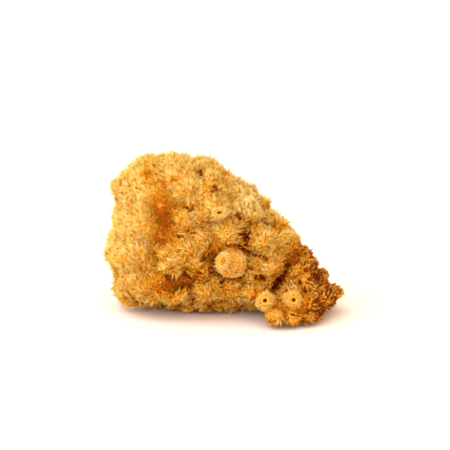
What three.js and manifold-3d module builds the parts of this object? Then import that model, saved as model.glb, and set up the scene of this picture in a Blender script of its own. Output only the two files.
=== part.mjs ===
// A golden sea sponge: one shaggy body of rounded lobes that grew together, with a low knobbly foot on the
// right, round breathing holes with raised rims, deep furrows between the lobes, and a flat cut underneath.
// Millimetres, +X to the right, +Y to the back, +Z up.
import * as THREE from "three";
import { ImprovedNoise } from "three/addons/math/ImprovedNoise.js";
import { MarchingCubes } from "three/addons/objects/MarchingCubes.js";
import { mergeVertices } from "three/addons/utils/BufferGeometryUtils.js";
import Module from "manifold-3d";

const wasm = await Module();
wasm.setup();

// Driving dimensions
const CELL = 4.4; // size of the cubes that the surface is traced through
const CELLS = 44; // cubes along each side of the space round the sponge
const SPACE_MIDDLE = [0, 0, 48];
const BLEND = 1.4; // how softly one lobe runs into the next
const LUMP_SIZE = 9; // distance between the lumps on a lobe
const LUMP_HEIGHT = 1.6;
const SKIN_DEPTH = 1.2; // how far the skin between the tufts lies inside the balls of the lobes
const TUFT_WIDTH = 3; // corners of the surface closer together than this are in the same tuft of fibres
const TUFT_SHARE = 0.4; // share of the surface that is the tip of a tuft
const TUFT_HEIGHT = 3.4; // how far the tallest tuft stands off its lobe
const RIM_WALL = 2.1; // wall of the raised rim round a breathing hole
const RIM_HEIGHT = 1.8;
const HOLE_DEPTH = 3.4; // depth of a breathing hole, in mouth radii
const HOLE_SIDES = 8;

// The upright body: its solid inside, as middles and half axes, and then its lobes
const BODY_INSIDE = [
  { at: [-14, 6, 49], half: [47, 35, 42] },
  { at: [-9, 11, 15], half: [54, 34, 22] },
  { at: [-6, 10, 38], half: [50, 36, 34] },
  { at: [18, 3, 30], half: [36, 31, 32] },
];
const CROWN = [
  { at: [-46, 10, 83.5], r: 14.5 },
  { at: [-29, 8, 87.5], r: 12.5 },
  { at: [-11, 6, 86.5], r: 12 },
  { at: [-3, 2, 80], r: 10.5 },
  { at: [-40, -18, 76], r: 11 },
  { at: [-23, -18, 77], r: 11 },
  { at: [-6, -19, 73], r: 10.5 },
  { at: [-36, 28, 77], r: 14 },
  { at: [-15, 27, 77], r: 14 },
  { at: [-44, -5, 82], r: 11.5 },
  { at: [-27, -6, 83], r: 12 },
  { at: [-9, -7, 80], r: 11.5 },
];
const LEFT_FLANK = [
  { at: [-57, 5, 76], r: 12.5 },
  { at: [-56, 2, 55], r: 14 },
  { at: [-47, -20, 58], r: 11 },
  { at: [-61, 0, 38], r: 14 },
  { at: [-48, -21, 40], r: 12 },
  { at: [-55, -3, 16], r: 15 },
  { at: [-59, 20, 42], r: 13 },
  { at: [-57, 22, 20], r: 14 },
  { at: [-50, -8, 74], r: 12 },
  { at: [-54, -11, 56], r: 12 },
  { at: [-57, -12, 39], r: 12 },
  { at: [-52, -14, 22], r: 12 },
];
const ROUND_LOBE = { at: [6, -32, 37.5], r: 10 };
const SLIT_LOBE = { at: [-2, -26, 67], r: 8.5 };
const SMALL_LOBE = { at: [4, -30, 54], r: 8 };
const FRONT = [
  SLIT_LOBE,
  SMALL_LOBE,
  { at: [-20, -26, 64], r: 10.5 },
  { at: [-25, -28, 45], r: 12 },
  { at: [-11, -29, 49], r: 8 },
  { at: [-14, -29, 33], r: 9 },
  { at: [-32, -29, 32], r: 8 },
  { at: [-44, -22, 21], r: 12.5 },
  { at: [-28, -27, 17], r: 8.5 },
  { at: [-11, -28, 19.5], r: 9 },
  { at: [4, -29, 19], r: 8 },
  { at: [17, -27, 19], r: 8 },
];
const RIGHT_SLOPE = [
  { at: [9, 0, 69.5], r: 10 },
  { at: [17, -16, 67], r: 10 },
  { at: [21, 3, 63], r: 11 },
  { at: [30, -4, 55.5], r: 11 },
  { at: [25, -25, 51], r: 9 },
  { at: [25, -29, 41], r: 7.5 },
  { at: [38, -14, 44], r: 11 },
  { at: [31, -27, 32], r: 8 },
];
const BACK = [
  { at: [-47, 31, 60], r: 14 },
  { at: [-24, 38, 61], r: 14 },
  { at: [-1, 34, 62], r: 14 },
  { at: [18, 25, 52], r: 13 },
  { at: [-42, 37, 38], r: 14 },
  { at: [-17, 42, 39], r: 14 },
  { at: [8, 38, 38], r: 14 },
  { at: [29, 28, 34], r: 13 },
  { at: [-37, 38, 14], r: 15 },
  { at: [-11, 42, 14], r: 15 },
  { at: [14, 39, 14], r: 14 },
];

// The low foot on the right, and the knobs in front of it
const FOOT_INSIDE = [{ at: [40, -10, 12], half: [27, 24, 14] }];
const FOOT = [
  { at: [47, 2, 29], r: 14 },
  { at: [46, -16, 26], r: 10 },
  { at: [58, -22, 14], r: 11 },
  { at: [66, -8, 12], r: 11 },
  { at: [55, -33, 8], r: 8.5 },
  { at: [59, 10, 15], r: 12 },
  { at: [41, 25, 14], r: 14 },
];
const KNOBS_INSIDE = [{ at: [37, -33, 7], half: [14, 9, 8] }];
const LEFT_KNOB = { at: [26, -38, 16], r: 8 };
const RIGHT_KNOB = { at: [42, -37, 16], r: 8 };
const FRONT_KNOB = { at: [31, -43, 5], r: 7 };
const KNOBS = [
  LEFT_KNOB,
  RIGHT_KNOB,
  FRONT_KNOB,
  { at: [41, -43, 5], r: 7 },
  { at: [51, -38, 7], r: 7 },
];

const BODY = [...BODY_INSIDE, ...CROWN, ...LEFT_FLANK, ROUND_LOBE, ...FRONT, ...RIGHT_SLOPE, ...BACK];
const PARTS = [...BODY, ...FOOT_INSIDE, ...FOOT, ...KNOBS_INSIDE, ...KNOBS];

// The breathing holes: the lobe that each opens on, the way it faces, and the radius of its mouth
const HOLES = [
  { on: ROUND_LOBE, facing: [-0.64, -0.66, 0.4], mouth: 3.1 },
  { on: LEFT_KNOB, facing: [-0.1, -0.96, 0.3], mouth: 2.4 },
  { on: RIGHT_KNOB, facing: [0.1, -0.95, 0.3], mouth: 2.4 },
  { on: FRONT_KNOB, facing: [0.15, -0.6, 0.8], mouth: 1.5 },
  { on: SLIT_LOBE, facing: [0.1, -0.97, 0.2], mouth: 1.8 },
  { on: SMALL_LOBE, facing: [-0.1, -0.95, 0.3], mouth: 1.4 },
  { on: CROWN[8], facing: [0.1, 0.3, 0.95], mouth: 3 },
  { on: BACK[2], facing: [0.2, 0.92, 0.4], mouth: 3.2 },
  { on: BACK[4], facing: [-0.3, 0.93, 0.2], mouth: 2.6 },
];

// Deep pits between the lobes, as middles and half axes
const PITS = [
  { at: [-34, -31, 58], half: [3.8, 11, 11] },
  { at: [-25, -33, 25.5], half: [11, 11, 3.4] },
  { at: [14, -31, 52], half: [3.8, 12, 4.8] },
  { at: [19, -31, 43], half: [8, 9, 3] },
  { at: [-5, -33, 41], half: [2.8, 9, 6] },
  { at: [36, -31, 24], half: [5, 10, 6] },
  { at: [28, -18, 62], half: [3.4, 6, 3.4] },
];

const goldenFibre = new THREE.MeshStandardMaterial({ color: 0xe6ae55, roughness: 0.95, metalness: 0 });

// A closed geometry as a solid that can be joined and cut
function solid(geometry) {
  geometry.deleteAttribute("normal");
  geometry.deleteAttribute("uv");
  const merged = mergeVertices(geometry, 1e-3);
  const vertProperties = new Float32Array(merged.attributes.position.array);
  const triVerts = new Uint32Array(merged.index.array);
  return new wasm.Manifold(new wasm.Mesh({ numProp: 3, vertProperties, triVerts }));
}

// How deep a point is inside a ball or an ellipsoid, less than 0 outside it
function depthIn({ at, r, half = [r, r, r] }, point) {
  const offset = new THREE.Vector3(...at).sub(point);
  return (1 - offset.divide(new THREE.Vector3(...half)).length()) * Math.min(...half);
}

// A number from 0 to 1 that looks random and is the same for the same three whole numbers
function scatter(i, j, k) {
  const wave = Math.sin(i * 127.1 + j * 311.7 + k * 74.7) * 43758.5453;
  return wave - Math.floor(wave);
}

// How far the surface at a point stands up in a tuft of fibres
function tuftAt(point) {
  const place = point.clone().divideScalar(TUFT_WIDTH).round();
  const height = TUFT_HEIGHT * (0.4 + 0.6 * scatter(place.z, place.x, place.y));
  return scatter(...place) < TUFT_SHARE ? height : 0;
}

// How deep a point is inside the sponge: the deepest of the lobes, with lumps, less the pits
const noise = new ImprovedNoise();
function depthInSponge(point) {
  const depths = PARTS.map((part) => depthIn(part, point));
  const inLobes = BLEND * Math.log(depths.reduce((sum, depth) => sum + Math.exp(depth / BLEND), 0));
  const place = point.clone().divideScalar(LUMP_SIZE);
  const grown = inLobes + LUMP_HEIGHT * noise.noise(place.x, place.y, place.z);
  return Math.min(grown, ...PITS.map((pit) => -depthIn(pit, point)));
}

// The smooth surface of the lobes, traced through a space of cubes
function tracedSurface() {
  const cubes = new MarchingCubes(CELLS, goldenFibre, false, false, 40000);
  cubes.isolation = SKIN_DEPTH;
  const point = new THREE.Vector3();
  for (let n = 0; n < CELLS ** 3; n++) {
    const [x, y, z] = [n % CELLS, Math.floor(n / CELLS) % CELLS, Math.floor(n / CELLS ** 2)];
    point.set(x, y, z).subScalar(CELLS / 2).multiplyScalar(CELL).add(new THREE.Vector3(...SPACE_MIDDLE));
    cubes.setCell(x, y, z, depthInSponge(point));
  }
  cubes.update();
  const corners = cubes.positionArray.slice(0, cubes.count * 3);
  const surface = new THREE.BufferGeometry();
  surface.setAttribute("position", new THREE.BufferAttribute(corners, 3));
  surface.scale((CELLS / 2) * CELL, (CELLS / 2) * CELL, (CELLS / 2) * CELL);
  surface.translate(...SPACE_MIDDLE);
  return surface;
}

// The surface with its tufts, each drawn straight out of the lobe it stands on
function tuftedSurface() {
  const surface = mergeVertices(tracedSurface(), 1e-3);
  surface.computeVertexNormals();
  const { position, normal } = surface.attributes;
  const point = new THREE.Vector3();
  const out = new THREE.Vector3();
  for (let i = 0; i < position.count; i++) {
    point.fromBufferAttribute(position, i);
    out.fromBufferAttribute(normal, i);
    position.setXYZ(i, ...point.addScaledVector(out, tuftAt(point)));
  }
  return solid(surface);
}

// A turned shape whose axis starts on a lobe's surface and points the way that the hole faces
function turnedOnLobe({ on, facing }, profile) {
  const shape = new THREE.LatheGeometry(profile.map(([x, y]) => new THREE.Vector2(x, y)), HOLE_SIDES);
  const out = new THREE.Vector3(...facing).normalize();
  shape.applyQuaternion(new THREE.Quaternion().setFromUnitVectors(new THREE.Vector3(0, 1, 0), out));
  shape.translate(...out.multiplyScalar(on.r).add(new THREE.Vector3(...on.at)));
  return solid(shape);
}

// The raised rim round a breathing hole, rooted in the lobe
function rim(hole) {
  const outside = hole.mouth + RIM_WALL;
  return turnedOnLobe(hole, [
    [0, -outside],
    [outside * 1.15, -outside],
    [outside, RIM_HEIGHT * 0.4],
    [hole.mouth + RIM_WALL * 0.5, RIM_HEIGHT],
    [0, RIM_HEIGHT],
  ]);
}

// The hole itself: a flared mouth over a throat that narrows to a blind end
function bore(hole) {
  const depth = HOLE_DEPTH * hole.mouth;
  return turnedOnLobe(hole, [
    [0, -depth],
    [hole.mouth * 0.45, -depth],
    [hole.mouth * 0.8, -hole.mouth],
    [hole.mouth, RIM_HEIGHT * 0.5],
    [hole.mouth * 1.3, RIM_HEIGHT * 2],
    [0, RIM_HEIGHT * 2],
  ]);
}

// Everything below the cut
function ground() {
  const block = new THREE.BoxGeometry(400, 400, 100);
  block.translate(0, 0, -50);
  return solid(block);
}

// The finished sponge, standing on its cut with its middle over the origin
function spongeGeometry() {
  const whole = HOLES.map(rim).reduce((sum, part) => sum.add(part), tuftedSurface());
  const cuts = [...HOLES.map(bore), ground()];
  const made = cuts.reduce((rest, cut) => rest.subtract(cut), whole).getMesh();
  const geometry = new THREE.BufferGeometry();
  geometry.setAttribute("position", new THREE.BufferAttribute(made.vertProperties, 3));
  geometry.setIndex(new THREE.BufferAttribute(made.triVerts, 1));
  geometry.center();
  geometry.computeBoundingBox();
  geometry.translate(0, 0, -geometry.boundingBox.min.z);
  geometry.computeVertexNormals();
  return geometry;
}

const sponge = new THREE.Mesh(spongeGeometry(), goldenFibre);
sponge.name = "sponge";

const seaSponge = new THREE.Group();
seaSponge.add(sponge);

export default seaSponge;
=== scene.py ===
# %% [markdown]
# # A golden sea sponge
# This lesson builds the looks of a dry sea sponge on top of its CAD solid. The real thing is one grown
# piece: a mass of lobes, each covered with tufts of springy fibres, with dark furrows between them and a
# few round breathing holes. The CAD solid gives its size and its lobes, and reaches to the tips of the
# tufts. Here it gets a skin that lies deeper, with hollows, knobs, holes, clumps and pores in it, and
# some two hundred thousand fibres that stand on that skin.

# %% Load the CAD solid
import math

import bpy
import numpy as np
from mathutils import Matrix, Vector, kdtree, noise
from mathutils.bvhtree import BVHTree


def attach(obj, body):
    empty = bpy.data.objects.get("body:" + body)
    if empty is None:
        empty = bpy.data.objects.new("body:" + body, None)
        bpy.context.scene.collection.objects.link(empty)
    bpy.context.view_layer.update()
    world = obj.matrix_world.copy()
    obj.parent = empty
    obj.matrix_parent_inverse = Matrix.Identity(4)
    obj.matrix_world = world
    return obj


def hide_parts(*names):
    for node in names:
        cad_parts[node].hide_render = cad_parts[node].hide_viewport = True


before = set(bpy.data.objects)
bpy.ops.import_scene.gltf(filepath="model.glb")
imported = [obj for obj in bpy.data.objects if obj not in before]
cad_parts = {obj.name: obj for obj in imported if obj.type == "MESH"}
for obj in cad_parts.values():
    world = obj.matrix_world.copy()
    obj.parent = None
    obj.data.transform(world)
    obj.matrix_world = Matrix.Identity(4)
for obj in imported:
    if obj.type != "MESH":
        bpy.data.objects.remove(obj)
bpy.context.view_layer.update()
scene = bpy.context.scene
MM = 0.001

# %% [markdown]
# ## Camera
# The sponge is seen from a little above through a long lens, so its sides hardly converge. A camera could
# be dragged into place by eye, but one that is worked out from an aim, a tilt and a distance can be
# corrected in one respect at a time. It goes first, because every choice after it is judged through it.

# %% Camera
TILT = math.radians(12)
AIM = Vector((0.8, 0, 53.2)) * MM
DISTANCE = 0.775  # from the aim to the camera, in metres
way_back = Vector((0, -math.cos(TILT), math.sin(TILT)))
bpy.ops.object.camera_add(location=AIM + DISTANCE * way_back, rotation=(math.radians(90) - TILT, 0, 0))
camera = bpy.context.object
camera.data.lens = 100
scene.camera = camera
print("camera at", [round(x, 3) for x in camera.location])

# %% [markdown]
# ## Light and floor
# The picture is bright and even, with a white surround and soft light from the upper left. Light that has
# gone from fibre to fibre is golden, and a render follows only some of those bounces, so a warm white
# world stands for the rest. An area lamp would do for the main light, but the shadows of a sun are the
# same everywhere, and a wide disc makes them soft. The sun is slightly cool, and the floor slightly blue,
# so that it comes out white.

# %% Light and floor
WARM_WHITE = (1, 0.71, 0.38, 1)
COOL_WHITE = (0.86, 1, 1)
BLUISH_WHITE = (0.91, 0.88, 0.98, 1)
SUN_WAY = Vector((0.56, 0.5, -0.66))


def matt(name, roughness, gloss):
    """A new material with hardly any shine, and its shader."""
    material = bpy.data.materials.new(name)
    material.use_nodes = True
    shader = material.node_tree.nodes["Principled BSDF"]
    shader.inputs["Roughness"].default_value = roughness
    shader.inputs["Specular IOR Level"].default_value = gloss
    return material, shader


scene.view_settings.view_transform = "Standard"
scene.cycles.diffuse_bounces = 10
world = bpy.data.worlds.new("white_surround")
world.use_nodes = True
surround = world.node_tree.nodes["Background"]
surround.inputs["Color"].default_value = WARM_WHITE
surround.inputs["Strength"].default_value = 1.22
scene.world = world

bpy.ops.object.light_add(type="SUN")
sun = bpy.context.object
sun.rotation_euler = SUN_WAY.to_track_quat("-Z", "Y").to_euler()
sun.data.angle = math.radians(100)
sun.data.energy = 3.15
sun.data.color = COOL_WHITE

bpy.ops.mesh.primitive_plane_add(size=60)
floor = bpy.context.object
floor.name = "floor"
floor_white, floor_shader = matt("floor_white", roughness=0.9, gloss=0.1)
floor_shader.inputs["Base Color"].default_value = BLUISH_WHITE
floor.data.materials.append(floor_white)
print("sun strength:", round(sun.data.energy, 2))

# %% [markdown]
# ## The skin under the tufts
# Seen close up, a sponge has no plain surface: the fibres stand on a skin that lies a few millimetres
# deeper than their tips. The skin could be modelled from balls again, but the CAD solid already has every
# lobe in its place. So a copy of it is merged, rebuilt from even faces with a voxel remesh, smoothed
# until its tufts are gone, and drawn in along its normals.

# %% Copy the solid and draw it in
SKIN_DEPTH = 3 * MM
COARSE_FACE = 1.3 * MM
SAME_PLACE = 1e-6  # corners closer than this, in metres, are one


def activate(piece):
    """Make one object alone the one that operators act on."""
    bpy.ops.object.select_all(action="DESELECT")
    piece.select_set(True)
    bpy.context.view_layer.objects.active = piece


def apply(piece, kind, **settings):
    """Add a modifier with its settings, and apply it."""
    modifier = piece.modifiers.new(kind, kind)
    for name, value in settings.items():
        setattr(modifier, name, value)
    activate(piece)
    bpy.ops.object.modifier_apply(modifier=modifier.name)


def in_edit_mode(piece, operator, **settings):
    """Use an operator of edit mode on the whole of a piece."""
    activate(piece)
    bpy.ops.object.mode_set(mode="EDIT")
    bpy.ops.mesh.select_all(action="SELECT")
    operator(**settings)
    bpy.ops.object.mode_set(mode="OBJECT")


skin = bpy.data.objects.new("sponge_skin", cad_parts["sponge"].data.copy())
scene.collection.objects.link(skin)
in_edit_mode(skin, bpy.ops.mesh.remove_doubles, threshold=SAME_PLACE)
apply(skin, "REMESH", mode="VOXEL", voxel_size=COARSE_FACE)
apply(skin, "SMOOTH", factor=0.5, iterations=24)
in_edit_mode(skin, bpy.ops.transform.shrink_fatten, value=-SKIN_DEPTH)
print("skin faces:", len(skin.data.polygons))

# %% [markdown]
# ## Where the hollows and knobs are
# Between the lobes of the front are hollows and cracks that go deeper than the furrows round a clump, and in
# places a lobe stands further forward than in the CAD solid. All of this could be sculpted, but a line with
# a width and a depth is easier to move. A negative depth brings the skin forward, and where it meets a
# hollow the two add up. Each line also has a tone for its fibres, from 0, which is brown, to 1, which is
# pale: painted shade in a hollow or crack, and in one place painted light on a lobe. Three knobs stand out
# from the front: a ball-shaped lobe in the middle, and two at the foot.

# %% Lines of the hollows, and the knobs
# Tones of the painted shade in hollows and cracks
ORANGE_SHADE, DARK_SHADE, BROWN_SHADE = 0.17, 0.09, 0.01
# Each hollow: points of its line as x and z in mm, half its width and its depth in mm, and its tone, which
# paints shade into the hollow or light onto a lobe
HOLLOWS = [
    # Two patches of painted orange shade at the left that come forward, with a dip and a crack beside the
    # upper one
    ([(-35, 70), (-34.5, 64), (-34, 52)], 9, -5, ORANGE_SHADE),
    ([(-33, 70), (-24, 71.5)], 3, 1, 0.3),
    ([(-24, 69.5), (-18, 68)], 1.6, 4, DARK_SHADE),
    ([(-36, 24), (-26, 25), (-16, 28)], 6.5, -6.5, 0.18),
    # The lobe over the ball, painted pale as light, a star of three cracks in it, the crack below it and the
    # slope beside it
    ([(4, 51), (15, 48), (22, 43)], 8, -6, 0.7),
    ([(8.2, 52.3), (16.4, 50)], 1.5, 3.5, BROWN_SHADE),
    ([(11.2, 55.8), (13.4, 46.5)], 1.35, 3.5, BROWN_SHADE),
    ([(9.5, 48.3), (16, 54)], 1.2, 3.5, BROWN_SHADE),
    ([(2, 49.5), (9.5, 46), (15.5, 41), (21.5, 40.5), (26, 38.5)], 1.4, 3, BROWN_SHADE),
    ([(-3, 50), (-8, 44), (-10, 38)], 4, -3, 0.3),
    # The gap over the foot, and the pit beside its first knob
    ([(44, 41), (40, 33)], 5.5, 4, 0.12),
    ([(39, 31), (36, 26), (30.5, 18.5)], 2.8, 5, BROWN_SHADE),
    ([(19.5, 27), (24, 26)], 2.2, 4, BROWN_SHADE),
    # Small gaps between the tufts of the front
    ([(-10.5, 62), (-9, 60.5)], 1.2, 2, DARK_SHADE),
    ([(-22, 57), (-17.5, 56)], 1.3, 3.5, DARK_SHADE),
    ([(-27, 53.5), (-24.5, 52.5)], 1.4, 3.5, DARK_SHADE),
    ([(-14, 39), (-6, 43.5)], 1.6, 4, DARK_SHADE),
    ([(-20, 29), (-14, 31)], 1.4, 4, DARK_SHADE),
    # Dips and gaps of the crown
    ([(-45, 87), (-42, 85)], 4, 2, 0.3),
    ([(-13.5, 87), (-12, 84)], 2.2, 4, DARK_SHADE),
    ([(-40, 82.5), (-36, 81.5)], 2.5, 2, 0.24),
    ([(-6, 80), (-2.5, 77)], 1.5, 3, DARK_SHADE),
    ([(-30, 85), (-25, 83.8)], 1.2, 2.5, ORANGE_SHADE),
    ([(-40, 93), (-35, 94)], 1.2, 2, ORANGE_SHADE),
    ([(-28, 96), (-25, 96.5)], 1.2, 2, ORANGE_SHADE),
    # Dips and a gap of the left, the right slope and the hem
    ([(-42, 41), (-38, 39)], 4, 3, 0.4),
    ([(25, 66), (28, 63)], 3, 3, 0.3),
    ([(9, 64), (9.5, 61.5)], 1.8, 4, DARK_SHADE),
    ([(15.5, 60.5), (26, 57), (36, 53)], 2.5, 3, 0.35),
    ([(-2, 17.5), (5, 17.5)], 2.2, 3, 0.36),
]
# Each knob: its middle and its radius in mm
KNOBS = [((4.9, -35.7, 37.5), 10.5), ((24.9, -41.7, 16), 8), ((40.9, -40.7, 16), 8)]
MOAT = 1  # depth in mm of the gap round a knob
KNOB_FUZZ = 2.4  # how deep in mm the skin of a knob lies under its short fibres
print("hollows:", len(HOLLOWS), "knobs:", len(KNOBS))

# %% [markdown]
# ## How far a place belongs to a hollow or a knob
# The same questions come back for the corners of the skin, for the tufts and for the tips of the fibres,
# so they are functions of any list of places. A loop over every corner would be slow, so each works on a
# whole array.

# %% Measure hollows and knobs
def smoothstep(low, high, x):
    """0 up to low, 1 from high on and a soft step between them, which falls where low is above high."""
    share = np.clip((x - low) / (high - low), 0, 1)
    return share * share * (3 - 2 * share)


def distance_to_line(flat, line):
    """How far each point of the front, as x and z, is from a line of points."""
    nearest = np.full(len(flat), np.inf)
    for start, end in zip(np.array(line[:-1], float), np.array(line[1:], float)):
        step = end - start
        along = np.clip((flat - start) @ step / (step @ step), 0, 1)
        nearest = np.minimum(nearest, np.linalg.norm(flat - start - along[:, None] * step, axis=1))
    return nearest


def round_knobs(places):
    """For each place: how much it belongs to a knob, and how much to the gap round one."""
    on_knob, in_moat = np.zeros((2, len(places)))
    for middle, radius in KNOBS:
        away = np.linalg.norm(places / MM - middle, axis=1) - radius
        on_knob = np.maximum(on_knob, 1 - smoothstep(-2, -1, away))
        in_moat = np.maximum(in_moat, 1 - smoothstep(0, 3.5, away))
    return on_knob, in_moat * (1 - on_knob)


def hollowed(places, ways):
    """For each place: how deep in mm a hollow makes it, how much it belongs to one, and that one's tone,
    which paints shade or light.
    """
    on_knob, _ = round_knobs(places)
    front = smoothstep(0.1, -0.4, ways[:, 1]) * smoothstep(4, -4, places[:, 1] / MM) * (1 - on_knob)
    filled, pressed, shares, tones = np.zeros((4, len(places)))
    for line, half_width, deep, line_tone in HOLLOWS:
        away = distance_to_line(places[:, [0, 2]] / MM, line) / half_width
        depth = front * (1 - smoothstep(0.2, 1, away)) * deep
        filled, pressed = np.minimum(filled, depth), np.maximum(pressed, depth)
        share = front * (1 - smoothstep(0.3, 1.5, away))
        tones[share > np.minimum(shares, 0.5)] = line_tone
        shares = np.maximum(shares, share)
    return filled + pressed, shares, tones


knob_middles = np.array([middle for middle, _ in KNOBS]) * MM
print("how much the middles of the knobs belong to them:", round_knobs(knob_middles)[0])

# %% [markdown]
# ## Press the hollows in and add the knobs
# Corners near a line are pushed straight back, the more the nearer they are. A knob could be pulled out
# of the skin in the same way, but its faces would stretch, so each one is a ball that is joined to the
# skin. The remesh of the next step fuses the balls with the skin and evens out all the stretched faces.

# %% Press the hollows in and add the knobs
def numbers(collection, name, width, kind=np.float32):
    """The values of a mesh's corners or faces as an array with a row for each."""
    found = np.empty(len(collection) * width, kind)
    collection.foreach_get(name, found)
    return found.reshape(-1, width)


def put_corners(piece, corners):
    """Move the corners of a piece to new places."""
    piece.data.vertices.foreach_set("co", corners.ravel())
    piece.data.update()


def join_to(piece, others):
    """Make other objects part of a piece's own mesh."""
    activate(piece)
    for other in others:
        other.select_set(True)
    bpy.ops.object.join()


corners = numbers(skin.data.vertices, "co", 3)
pushed, _, _ = hollowed(corners, numbers(skin.data.vertices, "normal", 3))
_, in_moat = round_knobs(corners)
pushed += MOAT * in_moat
corners[:, 1] += pushed * MM
put_corners(skin, corners)
for middle, radius in KNOBS:
    bpy.ops.mesh.primitive_ico_sphere_add(subdivisions=4, radius=(radius - KNOB_FUZZ) * MM,
                                          location=Vector(middle) * MM)
    join_to(skin, [bpy.context.object])
print("corners more than 1 mm deep in hollows:", int((pushed > 1).sum()))

# %% [markdown]
# ## Breathing holes
# Water leaves a living sponge through a few round holes, each with a raised lip. They could be pressed in
# like the hollows, but the faces of the skin are too coarse for such an edge. So a lip is a torus on a
# short cone that roots it in its lobe, and the hole is a tapered plug, the longer the wider its mouth.
# The lips are joined to the skin before a remesh fuses them, and a boolean then takes the plugs away. A
# stretch makes a slit of a round hole.

# %% Lips and holes
# Each hole: the middle of its mouth in mm, the way it faces, the radius of its mouth in mm, and its stretch
HOLES = [
    ((-0.2, -42.0, 40.3), (-0.72, -0.58, 0.38), 3.1, 1),
    ((24.3, -47.6, 17.8), (-0.10, -0.96, 0.30), 1.6, 1),
    ((41.5, -46.6, 17.9), (0.10, -0.95, 0.30), 1.6, 1),
    ((30.8, -50.3, 9.7), (0.15, -0.60, 0.80), 0.8, 1),
    ((-2.3, -36.9, 68.5), (0.10, -0.97, 0.20), 1.4, 1.4),
    ((2.2, -40.3, 56.1), (-0.10, -0.95, 0.30), 0.7, 1),
    ((-14.8, 27.2, 89.2), (0.10, 0.30, 0.95), 2.3, 1),
    ((0.4, 41.9, 67.0), (0.20, 0.92, 0.40), 2.4, 1),
    ((-47.0, 45.3, 40.6), (-0.30, 0.93, 0.20), 1.9, 1),
]
LIP = 0.8  # half the thickness of a lip in mm
LIP_ROOT = 7  # length in mm of the cone under a lip
ROUND = 32  # corners round a lip or a plug
FINE_FACE = 1.1 * MM

lips, plugs = [], []
for middle, way, mouth, stretch in HOLES:
    place, way = Vector(middle) * MM, Vector(way).normalized()
    turn = way.to_track_quat("Z", "Y").to_euler()
    shape = (stretch, 1 / stretch, 1)
    bpy.ops.mesh.primitive_torus_add(location=place, rotation=turn, major_segments=ROUND, minor_segments=10,
                                     major_radius=(mouth + LIP) * MM, minor_radius=LIP * MM)
    bpy.context.object.scale = shape
    lips.append(bpy.context.object)
    bpy.ops.mesh.primitive_cone_add(location=place - way * (LIP_ROOT / 2) * MM, rotation=turn,
                                    vertices=ROUND, radius1=(mouth + 2.5 * LIP) * MM,
                                    radius2=(mouth + 1.5 * LIP) * MM, depth=LIP_ROOT * MM)
    lips.append(bpy.context.object)
    # The plug reaches 3 mm out of the mouth, and 3.2 times the radius of the mouth into the lobe
    bpy.ops.mesh.primitive_cone_add(location=place + way * (1.5 - 1.6 * mouth) * MM, rotation=turn,
                                    vertices=ROUND, radius1=0.5 * mouth * MM, radius2=(mouth + 0.3) * MM,
                                    depth=(3 + 3.2 * mouth) * MM)
    bpy.context.object.scale = shape
    plugs.append(bpy.context.object)

join_to(skin, lips)
apply(skin, "REMESH", mode="VOXEL", voxel_size=FINE_FACE)
all_plugs = plugs[0]
join_to(all_plugs, plugs[1:])
apply(skin, "BOOLEAN", operation="DIFFERENCE", object=all_plugs, solver="EXACT")
bpy.data.objects.remove(all_plugs)
apply(skin, "SMOOTH", factor=0.5, iterations=1)
print("skin with holes, faces:", len(skin.data.polygons))

# %% [markdown]
# ## Clumps
# From a step away the sponge is a heap of clumps as wide as a fingertip, with dark furrows between them.
# Pressing a thousand furrows by hand would take days, so code does it: middles are scattered over the
# skin at even distances, and every place belongs to the nearest middle. All chance gets a fixed seed
# here. Blender's noise needs one too, because without it each run takes another from the clock, and combs
# the fibres another way.

# %% Middles of the clumps
CLUMP_GAP = 7.5 * MM
rng = np.random.default_rng(seed=29)
noise.seed_set(1)


def unit(directions):
    """The same directions, each with a length of one."""
    return directions / np.linalg.norm(directions, axis=1, keepdims=True)


def scattered(mesh, count):
    """Random points all over a mesh, with the way the surface faces there."""
    mesh.calc_loop_triangles()
    triangles = numbers(mesh.loop_triangles, "vertices", 3, np.int32)
    areas = numbers(mesh.loop_triangles, "area", 1)[:, 0]
    picked = triangles[rng.choice(len(triangles), count, p=areas / areas.sum())]
    shares = rng.dirichlet((1, 1, 1), count)[:, :, None]
    places = (numbers(mesh.vertices, "co", 3)[picked] * shares).sum(1)
    ways = (numbers(mesh.vertices, "normal", 3)[picked] * shares).sum(1)
    return places, unit(ways)


def tree_of(places):
    """A search tree that finds the nearest of many points quickly."""
    tree = kdtree.KDTree(len(places))
    for i, place in enumerate(places):
        tree.insert(place, i)
    tree.balance()
    return tree


def spaced(mesh, tries, gap):
    """Random points all over a mesh, without those that are closer than the gap to an earlier one."""
    places, ways = scattered(mesh, tries)
    tree = tree_of(places)
    free = np.ones(tries, bool)
    kept = []
    for i, place in enumerate(places):
        if free[i]:
            kept.append(i)
            free[[j for _, j, _ in tree.find_range(place, gap)]] = False
    return places[kept], ways[kept]


clump_middles, _ = spaced(skin.data, tries=12000, gap=CLUMP_GAP)
clump_tree = tree_of(clump_middles)
print("clumps:", len(clump_middles))

# %% [markdown]
# ## Pores
# The whole sponge is pierced with small pores, which show as dark specks between the fibres. Cutting each
# one with a boolean would take minutes and many faces. So a pore is only a point with a width: the skin
# sinks there in the next step, and the fibres round it are shorter and darker, as painted shade.

# %% Where the pores are
PORE_GAP = 4.2 * MM
pores, _ = spaced(skin.data, tries=40000, gap=PORE_GAP)
pore_widths = rng.uniform(0.8, 1.5, len(pores)) * MM
pore_tree = tree_of(pores)


def in_pore(places):
    """How far inside a pore each place is, from 0 outside to 1 in the middle."""
    found = [pore_tree.find(place)[1:] for place in places]
    nearest, away = np.array([i for i, _ in found]), np.array([distance for _, distance in found])
    return 1 - smoothstep(0.5, 1.3, away / pore_widths[nearest])


print("pores:", len(pores))

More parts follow.
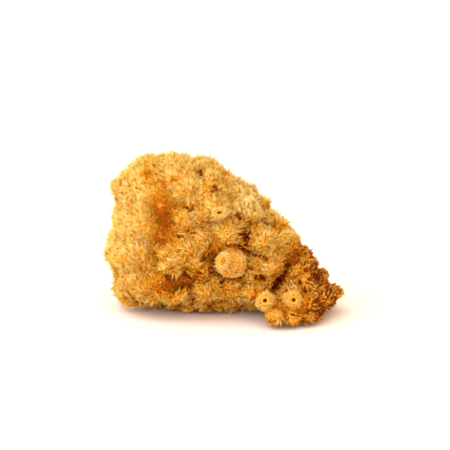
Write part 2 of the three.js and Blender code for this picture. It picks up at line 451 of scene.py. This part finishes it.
# %% [markdown]
# ## Furrows, and where the fur is soft
# Corners halfway between two clumps are pushed in along their normals, and so are those in pores. The lips
# of the holes are left alone, and the knobs nearly so. A displacement texture could do this too, but it
# knows nothing of lips and knobs. The furrows are shallow at the upper left, where the fur is long and loose
# and is painted paler as light, and deep at the lower right, where each tuft stands out. The softness of a
# place says where it is between those two.

# %% Press the furrows in
FURROW = 2.0 * MM


def within_clump(places):
    """How far inside its clump each place is, from 0 on a furrow to 1 in the middle, and which clump."""
    inside, clump = np.empty(len(places)), np.empty(len(places), int)
    for i, place in enumerate(places):
        (_, clump[i], near), (_, _, next_near) = clump_tree.find_n(place, 2)
        inside[i] = (next_near - near) / (next_near + near)
    return inside, clump


def softness(places):
    """How soft the fur is: 1 at the upper left, and 0 at the lower right."""
    return np.clip((-0.9 * places[:, 0] + 0.8 * (places[:, 2] - 50 * MM)) / (40 * MM) - 0.1, 0, 1)


corners = numbers(skin.data.vertices, "co", 3)
outward = numbers(skin.data.vertices, "normal", 3)
inside, _ = within_clump(corners)
in_lip = np.zeros(len(corners))
for middle, _, mouth, _ in HOLES:
    away = np.linalg.norm(corners / MM - middle, axis=1)
    in_lip = np.maximum(in_lip, 1 - smoothstep(mouth + 1.5, mouth + 4, away))
on_knob, _ = round_knobs(corners)
furrow = (1 - smoothstep(0, 0.45, inside) + 0.9 * in_pore(corners)) * (1 - in_lip) * (1 - 0.85 * on_knob)
furrow *= 1 - 0.6 * softness(corners)
corners -= outward * (FURROW * furrow)[:, None]
corners[:, 2] = np.maximum(corners[:, 2], 0)
put_corners(skin, corners)
apply(skin, "SMOOTH", factor=0.4, iterations=1)
activate(skin)
bpy.ops.object.shade_smooth()
print("deepest furrow in mm:", round(float(furrow.max() * FURROW / MM), 2))

# %% [markdown]
# ## How open each place is
# Deep places are dark and orange, because light only gets there after many bounces between golden fibres.
# The render makes much of that by itself, and painted shade in the colours adds to it. An ambient occlusion
# node would measure it too, but only in the render. So for every place a handful of rays is sent out here,
# and the share of them that gets away says how open that place is.

# %% Measure openness
FAR = 24 * MM
OFF_SKIN = 0.6  # how far in mm above the skin a ray starts
RAYS = 12
GOLDEN_TURN = 2.39996  # the angle between neighbours on a sunflower, which spreads the rays evenly
turns = np.arange(RAYS) * GOLDEN_TURN
heights = np.sqrt((np.arange(RAYS) + 0.5) / RAYS)
sideways = np.sqrt(1 - heights**2)
SPREAD = np.stack([np.cos(turns) * sideways, np.sin(turns) * sideways, heights], 1)
skin_search = BVHTree.FromPolygons([tuple(v.co) for v in skin.data.vertices],
                                   [tuple(p.vertices) for p in skin.data.polygons])


def side_ways(ways):
    """Two directions square to each given one and to each other."""
    other = np.where(np.abs(ways[:, 2:3]) < 0.8, [[0.0, 0, 1]], [[1.0, 0, 0]])
    first = unit(np.cross(ways, other))
    return first, np.cross(ways, first)


def openness(places, ways):
    """How open each place of the skin is, from 0 to 1."""
    first, second = side_ways(ways)
    found = np.empty(len(places))
    for i, place in enumerate(places):
        rays = SPREAD @ np.stack([first[i], second[i], ways[i]])
        start = Vector(place + ways[i] * OFF_SKIN * MM)
        reached = [skin_search.ray_cast(start, Vector(ray), FAR)[3] for ray in rays]
        found[i] = np.mean([1 if r is None else (r / FAR) ** 2 for r in reached])
    return found


corners = numbers(skin.data.vertices, "co", 3)
outward = numbers(skin.data.vertices, "normal", 3)
# How open the skin is, which later paints its shade
skin_light_and_shade = openness(corners, outward)
print("openness of the skin:", np.round(np.quantile(skin_light_and_shade, [0, 0.1, 0.5, 0.9, 1]), 2))

# %% [markdown]
# ## Painted shade in cracks, painted light in throats, and pale lips
# The skin in a dark crack is painted nearly black as shade, the throat of a round hole is painted a glowing
# orange as the light that falls in, and the lip round it is pale and almost bare. Weights could be painted
# by hand, but the lists of hollows and holes already say where all of this is. The result is kept as two
# attributes of the skin's corners, for its material to read.

# %% Attributes of the skin
_, in_hollow, hollow_tone = hollowed(corners, outward)
# Painted shade: the skin of dark cracks is nearly black
skin_light_and_shade *= 1 - 0.9 * in_hollow * (hollow_tone <= DARK_SHADE)
lip_share, painted_throat_light = np.zeros((2, len(corners)))
for middle, way, mouth, stretch in HOLES:
    spot = corners / MM - middle
    up = spot @ (np.array(way) / np.linalg.norm(way))
    ring = np.linalg.norm(spot, axis=1)
    on_lip = smoothstep(-1.5, 0.5, up) * (1 - smoothstep(mouth + LIP, mouth + 3 * LIP, ring))
    lip_share = np.maximum(lip_share, on_lip)
    if stretch == 1:
        # Painted light where light falls into a round throat, near its mouth
        bright = smoothstep(2.2 * mouth, 0.8 * mouth, ring) * (0.42 if mouth > 2 else 0.8)
        from_axis = np.sqrt(np.maximum(ring**2 - up**2, 0))
        painted_throat_light = np.maximum(painted_throat_light, bright * (from_axis < mouth + 0.5))
# Painted light: the throats and the soft fur of the upper left are lighter, except in hollows
skin_light_and_shade = np.maximum(skin_light_and_shade, np.maximum(painted_throat_light, 0.7 * softness(corners) * (1 - in_hollow)))
# The attribute "openness" carries the painted light and shade of the skin
for name, values in (("lip", lip_share), ("openness", skin_light_and_shade)):
    attribute = skin.data.attributes.new(name, "FLOAT", "POINT")
    attribute.data.foreach_set("value", values.astype(np.float32))
print("corners on lips:", int((lip_share > 0.5).sum()), "in throats:", int((painted_throat_light > 0.3).sum()))

# %% [markdown]
# ## Tufts of fibres
# Each tuft is a bundle of fibres that lean together. Hair would be the usual tool, but hair isn't kept
# when the part is exported, so each fibre is a closed sliver of four triangles. All of them come from
# arrays: root, tip, width and tone are worked out for all the fibres at once, and the slivers of a region
# are one mesh. Tufts stand all over the skin at even distances, but not on the lips of the holes or in
# the lowest rim above the floor.

# %% Where the tufts stand
TUFT_GAP = 0.9 * MM
RIM = 0.8 * MM
places, ways = spaced(skin.data, tries=260000, gap=TUFT_GAP)
clear = places[:, 2] > RIM
for middle, _, mouth, _ in HOLES:
    clear &= np.linalg.norm(places / MM - middle, axis=1) > mouth + 1.8 * LIP
places, ways = places[clear], ways[clear]
inside, clump = within_clump(places)
tuft_open = openness(places, ways)
_, in_hollow, hollow_tone = hollowed(places, ways)
on_knob, in_moat = round_knobs(places)
bare = (hollow_tone == BROWN_SHADE) & (in_hollow > 0.7)
pore = in_pore(places) * ~bare
soft = softness(places)
x, _, z = (places / MM).T
print("tufts:", len(places))

# %% [markdown]
# ## Which way the tufts lean
# The fur of a sponge isn't combed one way. All of it leans a little upwards and to its own side, the
# tufts of a clump part from its middle and share a lock's own way, and neighbours swirl together like
# grass in the wind. Each of these is a direction along the skin, added to the way the skin faces, with
# some chance for each tuft.

# %% Lean of the tufts
SWIRL = 6 * MM  # size of the eddies


def along_skin(directions):
    """The part of each direction that doesn't leave the skin."""
    return directions - ways * (directions * ways).sum(1, keepdims=True)


parted = along_skin(places - clump_middles[clump])
combed = np.stack([np.sign(x) * 0.25, np.zeros(len(x)), np.full(len(x), 0.3)], 1)
lock = rng.normal(0, 0.4, clump_middles.shape)[clump]
eddies = np.array([noise.noise_vector(Vector(place) / SWIRL) for place in places])
swirl = unit(along_skin(combed + lock * (1 - 0.6 * soft)[:, None] + eddies))
tuft_ways = ways * 0.5 + parted / (4 * MM) * 0.12 + swirl * (0.75 - 0.15 * soft)[:, None]
tuft_ways += rng.normal(0, 0.18, places.shape) * (1 + 0.5 * soft)[:, None]
tuft_ways = unit(tuft_ways)
print("mean rise of a tuft from the skin:", round(float((tuft_ways * ways).sum(1).mean()), 2))

# %% [markdown]
# ## How long the tufts are
# A tuft is about five millimetres long, a little more where the fur is soft. It is shorter over the foot,
# in furrows, in deep places, on knobs and round pores, and shortest in bare cracks. One factor for each
# keeps them apart, so that one can be changed without the others.

# %% Length of the tufts
tuft_lengths = (5 + 0.6 * soft) * (0.88 + rng.uniform(-0.38, 0.38, len(places)) * (1 - 0.4 * soft))
over_foot = smoothstep(14, 26, x) * smoothstep(44, 34, z)
tuft_lengths *= 1 - 0.25 * over_foot
tuft_lengths *= 0.7 + 0.3 * smoothstep(0, 0.5, inside)
tuft_lengths *= 0.5 + 0.5 * smoothstep(0.15, 0.6, tuft_open)
by_knob = (1 - 0.55 * on_knob) * (1 - 0.5 * in_moat)
tuft_lengths *= by_knob * (1 - (0.65 - 0.45 * soft) * pore) * (1 - 0.6 * bare)
print("tuft lengths in mm:", np.round(np.quantile(tuft_lengths, [0, 0.5, 1]), 2))

# %% [markdown]
# ## Tone of the tufts
# The tone goes from brown at 0 over orange and gold to pale straw at 1. Open places, soft fur, the middle of
# a clump and the upper right slope are paler: painted light. The knobs are paler too. Pores, furrows, the
# hem and the foot are darker: painted shade, and the foot has single brown tufts of painted shadow. A
# painted picture could hold all this, but the list of tufts needs no unwrapping.

# %% Tone of the tufts
FOOT_SHADE_TONE = 0.08
MOAT_SHADE_TONE = 0.22
clump_tone = rng.normal(0, 0.04, len(clump_middles))[clump]
# Painted light and shade: paler in open places and on the soft fur of the upper left
tuft_tone = 0.24 + 0.24 * smoothstep(0.25, 0.9, tuft_open) + clump_tone * (1 - 0.7 * soft) + 0.25 * soft
# Painted light: the upper right slope is paler
tuft_tone += 0.42 * smoothstep(0, 20, x) * smoothstep(52, 64, z)
# Painted shade: darker in the furrows between clumps
tuft_tone += (0.24 - 0.18 * soft) * smoothstep(0.05, 0.6, inside)
# Painted shade round the pores
pore_shade = (0.36 - 0.28 * soft - 0.22 * on_knob) * pore
tuft_tone += rng.normal(0, 0.07, len(places)) * (1 - 0.6 * soft) - pore_shade
tuft_tone += (0.2 + rng.normal(0, 0.1, len(places))) * on_knob
# Painted shade on the foot, and painted shadow at its right end: single brown tufts and a darker tone
foot_shade_share = 0.15 * smoothstep(14, 24, x) * smoothstep(34, 26, z)
foot_shade_share += 0.42 * smoothstep(42, 56, x) * smoothstep(46, 40, z)
foot_shade_tuft = rng.uniform(0, 1, len(places)) < foot_shade_share
tuft_tone -= 0.2 * smoothstep(36, 50, x) * smoothstep(46, 38, z)
# Painted shade: darker furrows at the lower front, and darker towards the hem
tuft_tone -= 0.2 * (1 - smoothstep(0.05, 0.6, inside)) * smoothstep(42, 26, z) * smoothstep(24, 14, x)
tuft_tone -= 0.15 * smoothstep(16, 4, z)
tuft_tone[foot_shade_tuft] = FOOT_SHADE_TONE
# Painted shade in the gap round a knob
tuft_tone += (MOAT_SHADE_TONE - tuft_tone) * 0.75 * in_moat
# Painted shade of the hollows: a dark hollow takes a tuft all or not at all, so that its edge is ragged, and
# the others take it by degrees
taken = np.where(hollow_tone <= DARK_SHADE, in_hollow > rng.uniform(0.45, 0.85, len(places)), 0.9 * in_hollow)
tuft_tone += (hollow_tone - tuft_tone) * taken
print("tuft tones:", np.round(np.quantile(tuft_tone, [0, 0.1, 0.5, 0.9, 1]), 2))

# %% [markdown]
# ## The fibres of each tuft
# Six or seven fibres grow from a small round patch, close up a little towards their tips, and start under
# the skin so that no root shows. A tuft could be modelled once and copied, but then all would look alike,
# so each fibre gets its own place, length and stray. Fibres whose tips would hide a brown crack are cut
# back, and none goes below the floor.

# %% Roots and tips
FULL_TURN = 2 * math.pi
ROOT_DEPTH = 0.8  # how far under the skin a fibre starts, in mm
LOWEST = 0.1 * MM
tuft = np.repeat(np.arange(len(places)), np.round(6 + 0.6 * soft).astype(int))
count = len(tuft)
first, second = side_ways(tuft_ways)
around = rng.uniform(0, FULL_TURN, count)
away = np.sqrt(rng.uniform(0, 1, count)) * (0.6 + 0.1 * soft[tuft]) * MM
offset = first[tuft] * (np.cos(around) * away)[:, None] + second[tuft] * (np.sin(around) * away)[:, None]
closing = (0.8 + 0.2 * soft)[tuft]
roots = places[tuft] + offset - tuft_ways[tuft] * ROOT_DEPTH * MM
lengths = tuft_lengths[tuft] * rng.uniform(0.6, 1.1, count) * MM
tips = places[tuft] + offset * closing[:, None] + tuft_ways[tuft] * lengths[:, None]
tips += rng.normal(0, MM, tips.shape) * (0.3 + 0.1 * soft[tuft])[:, None]
outs = ways[tuft] + rng.normal(0, 0.5, tips.shape)
_, over_hollow, over_tone = hollowed(tips, ways[tuft])
leans_over = (over_hollow > 0.7) & (over_tone == BROWN_SHADE) & (on_knob[tuft] < 0.5)
tips[leans_over] = roots[leans_over] + 0.4 * (tips - roots)[leans_over]
tips[:, 2] = np.maximum(tips[:, 2], LOWEST)
roots[:, 2] = np.maximum(roots[:, 2], LOWEST)
print("fibres:", count, "cut back:", int(leans_over.sum()))

# %% [markdown]
# ## Width and tone of each fibre
# A fibre is about a third of a millimetre wide, and thinner where the fur is soft. Its tone strays from
# that of its tuft, most where the fur is firm and little in gaps, so that the fur sparkles but the gaps
# stay quiet.

# %% Width and tone
PALEST = 0.98
widths = (0.42 - 0.16 * soft[tuft]) * rng.uniform(0.6, 1.4, count) * MM
in_gap = np.maximum(in_hollow, in_moat)
darkest = np.where(tuft_tone < 0.3, 0, 0.32)
uneven = 0.28 * (1 - 0.6 * soft) * (1 - 0.8 * foot_shade_tuft) * (1 - 0.75 * in_gap)
tone = np.clip(tuft_tone[tuft] + rng.normal(0, 1, count) * uneven[tuft], darkest[tuft], PALEST)
print("mean width in mm:", round(float(widths.mean() / MM), 2))

# %% [markdown]
# ## Fringes of the holes
# Short pale fibres stand all round the lip of each hole and roll over it, from the mouth to the outside.
# The tufts above could cover the lips too, but they would close the mouths. So a fringe is worked out
# from the ring of its lip: a turn round the mouth and a roll round the lip give each root and the way out
# from it.

# %% Fringes of the holes
for middle, way, mouth, stretch in HOLES:
    number = int(200 + 200 * mouth)
    way = np.array(way) / np.linalg.norm(way)
    across, over = (side[0] for side in side_ways(way[None]))
    turn = rng.uniform(0, FULL_TURN, number)[:, None]
    roll = rng.uniform(-0.1, 2.2, number)[:, None]
    outer = across * np.cos(turn) + over * np.sin(turn)
    ring = across * np.cos(turn) * (mouth * stretch + LIP) + over * np.sin(turn) * (mouth / stretch + LIP)
    out = way * np.cos(roll) + outer * np.sin(roll)
    root = np.array(middle) + ring + out * 0.5 * LIP + rng.normal(0, 0.15, outer.shape)
    lean_out = out * 0.8 + outer * 0.2 + rng.normal(0, 0.45, root.shape)
    tip = root + lean_out * rng.uniform(0.8, 1.9, number)[:, None]
    roots = np.vstack([roots, root * MM])
    tips = np.vstack([tips, tip * MM])
    outs = np.vstack([outs, out])
    widths = np.append(widths, rng.uniform(0.25, 0.4, number) * MM)
    lip_tone = 0.55 + 0.1 * mouth + 0.25 * (stretch > 1)
    tone = np.append(tone, np.clip(rng.normal(lip_tone, 0.12, number), 0, PALEST))
print("with fringes:", len(roots))

# %% [markdown]
# ## From arrays to meshes
# A fibre is a sliver with four corners: its root, its tip, and two sides in between that stand a little
# higher. Adding each one with an operator would take hours, so a mesh is filled from the arrays. Its map
# puts the tone across and the way from root to tip upwards, so that one small picture of colours could
# serve all the fibres. One mesh of all of them would be too heavy, so the fur is shared out between six
# regions, as one might brush it. Each region takes the fibres that are left when those before it have
# theirs.

# %% Make one mesh of slivers
SLIVER = np.array([[0, 2, 1], [3, 1, 2], [0, 1, 3], [0, 3, 2]])
WIDEST = 0.45  # where between root and tip a fibre is widest
RIDGE = 0.8  # how far its sides stand out there, in widths
MARGIN = 0.01  # kept free at the edges of the map
SLIVER_ACROSS = np.array([0.5, 0, 1, 0.5])
SLIVER_UP = np.array([0, WIDEST, WIDEST, 1])


def slivers(name, chosen):
    """One object with a mesh of all the chosen fibres."""
    root, tip, out, width = roots[chosen], tips[chosen], outs[chosen], widths[chosen][:, None]
    way = unit(tip - root)
    side = unit(np.cross(out, way))
    middle = root * (1 - WIDEST) + tip * WIDEST + np.cross(way, side) * width * RIDGE
    points = np.stack([root, middle + side * width / 2, middle - side * width / 2, tip], 1)
    faces = (SLIVER[None] + 4 * np.arange(len(root))[:, None, None]).reshape(-1, 3)
    mesh = bpy.data.meshes.new(name)
    mesh.from_pydata(points.reshape(-1, 3), [], faces)
    across = tone[chosen][:, None] + MARGIN * (SLIVER_ACROSS - 0.5)
    up = np.broadcast_to(MARGIN + (1 - 2 * MARGIN) * SLIVER_UP, across.shape)
    spots = np.stack([across, up], 2).reshape(-1, 2)[faces]
    mesh.uv_layers.new(name="OFBake").uv.foreach_set("vector", spots.astype(np.float32).ravel())
    mesh.shade_smooth()
    piece = bpy.data.objects.new(name, mesh)
    scene.collection.objects.link(piece)
    print(name, "triangles:", len(faces))
    return piece


x, y, z = (roots / MM).T
unclaimed = np.full(len(roots), True)
REGIONS = [
    ("foot", (x > 33) & (z < 44) | (x > 20) & (y < -34) & (z < 26)),
    ("crown", z > 66),
    ("left", x < -36),
    ("back", y > 6),
    ("hem", z < 34),
    ("front", z >= 34),
]
fibre_pieces = []
for region, wanted in REGIONS:
    fibre_pieces.append(slivers(f"{region}_fibres", unclaimed & wanted))
    unclaimed &= ~wanted
print("fibres left over:", int(unclaimed.sum()))

# %% [markdown]
# ## Colour of the fibres
# A fibre is painted orange at its root as the shade there, where light only comes through other fibres, and
# pale yellow at its thin tip. Fibres in hollows are burnt orange or brown all along, as painted shade. A
# picture could hold these colours, but two colour ramps are easier to tune: both read the tone, one for
# roots and one for tips, and the way up the fibre mixes them. A power keeps most of the fibre near the
# colour of its root.

# %% Fibre material
# Oranger roots than tips: painted shade inside the fur
ROOT_COLOURS = [
    (0, (0.10, 0.013, 0.003)),
    (0.2, (0.66, 0.13, 0.005)),
    (0.32, (0.72, 0.21, 0.002)),
    (0.65, (0.87, 0.36, 0.006)),
    (1, (0.92, 0.56, 0.05)),
]
TIP_COLOURS = [
    (0, (0.17, 0.025, 0.004)),
    (0.2, (0.74, 0.20, 0.012)),
    (0.32, (0.79, 0.41, 0.02)),
    (0.65, (0.95, 0.78, 0.18)),
    (1, (0.98, 0.98, 0.68)),
]
TIP_POWER = 1.8


def ramp(nodes, stops):
    """A colour ramp with a colour at each stop."""
    made = nodes.new("ShaderNodeValToRGB")
    elements = made.color_ramp.elements
    while len(elements) < len(stops):
        elements.new(0.5)
    for element, (place, colour) in zip(elements, stops):
        element.position = place
        element.color = (*colour, 1)
    return made


fibre_gold, shader = matt("fibre_gold", roughness=0.85, gloss=0)
nodes, links = fibre_gold.node_tree.nodes, fibre_gold.node_tree.links
fibre_map = nodes.new("ShaderNodeUVMap")
fibre_map.uv_map = "OFBake"
parts = nodes.new("ShaderNodeSeparateXYZ")
links.new(fibre_map.outputs["UV"], parts.inputs["Vector"])
root_colours, tip_colours = ramp(nodes, ROOT_COLOURS), ramp(nodes, TIP_COLOURS)
links.new(parts.outputs["X"], root_colours.inputs["Fac"])
links.new(parts.outputs["X"], tip_colours.inputs["Fac"])
nearer_tip = nodes.new("ShaderNodeMath")
nearer_tip.operation = "POWER"
nearer_tip.inputs[1].default_value = TIP_POWER
links.new(parts.outputs["Y"], nearer_tip.inputs[0])
blend = nodes.new("ShaderNodeMix")
blend.data_type = "RGBA"
links.new(nearer_tip.outputs["Value"], blend.inputs["Factor"])
links.new(root_colours.outputs["Color"], blend.inputs["A"])
links.new(tip_colours.outputs["Color"], blend.inputs["B"])
links.new(blend.outputs["Result"], shader.inputs["Base Color"])
for piece in fibre_pieces:
    piece.data.materials.append(fibre_gold)
print("fibre material on", len(fibre_pieces), "pieces")

# %% [markdown]
# ## Colour of the skin
# The skin only shows at the bottom of furrows and inside the holes, where it is painted a deep burnt orange
# as shade, and on the lips of the holes, which are pale. One plain colour would look like plastic there. So
# the openness of each corner, with the painted shade and light of cracks, throats and soft fur, picks the
# colour from a ramp, darker where it is less open, with a little noise so that no part is one flat tone, and
# the lips are mixed in.

# %% Skin material
# Darker where the skin is less open: painted shade
SKIN_COLOURS = [
    (0.25, (0.12, 0.015, 0.004)),
    (0.4, (0.6, 0.14, 0.006)),
    (0.8, (0.64, 0.27, 0.016)),
    (1.0, (0.85, 0.42, 0.05)),
]
LIP_COLOUR = (0.85, 0.52, 0.1, 1)
skin_orange, shader = matt("skin_orange", roughness=0.9, gloss=0)
nodes, links = skin_orange.node_tree.nodes, skin_orange.node_tree.links
read_light_and_shade = nodes.new("ShaderNodeAttribute")
read_light_and_shade.attribute_name = "openness"
where = nodes.new("ShaderNodeTexCoord")
mottle = nodes.new("ShaderNodeTexNoise")
mottle.inputs["Scale"].default_value = 1100
mottle.inputs["Detail"].default_value = 2
links.new(where.outputs["Object"], mottle.inputs["Vector"])
mottled = nodes.new("ShaderNodeMath")
mottled.operation = "MULTIPLY_ADD"
links.new(mottle.outputs["Fac"], mottled.inputs[0])
mottled.inputs[1].default_value = 0.4
links.new(read_light_and_shade.outputs["Fac"], mottled.inputs[2])
skin_colours = ramp(nodes, SKIN_COLOURS)
links.new(mottled.outputs["Value"], skin_colours.inputs["Fac"])
read_lip = nodes.new("ShaderNodeAttribute")
read_lip.attribute_name = "lip"
with_lips = nodes.new("ShaderNodeMix")
with_lips.data_type = "RGBA"
with_lips.inputs["B"].default_value = LIP_COLOUR
links.new(read_lip.outputs["Fac"], with_lips.inputs["Factor"])
links.new(skin_colours.outputs["Color"], with_lips.inputs["A"])
links.new(with_lips.outputs["Result"], shader.inputs["Base Color"])
skin.data.materials.clear()
skin.data.materials.append(skin_orange)
print("skin material:", skin.data.materials[0].name)

# %% [markdown]
# ## Hand over
# Every piece moves with the one body of the part, and stands for the CAD solid, which is hidden.

# %% Finish
for piece in [skin, *fibre_pieces]:
    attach(piece, "root")
    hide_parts("sponge")
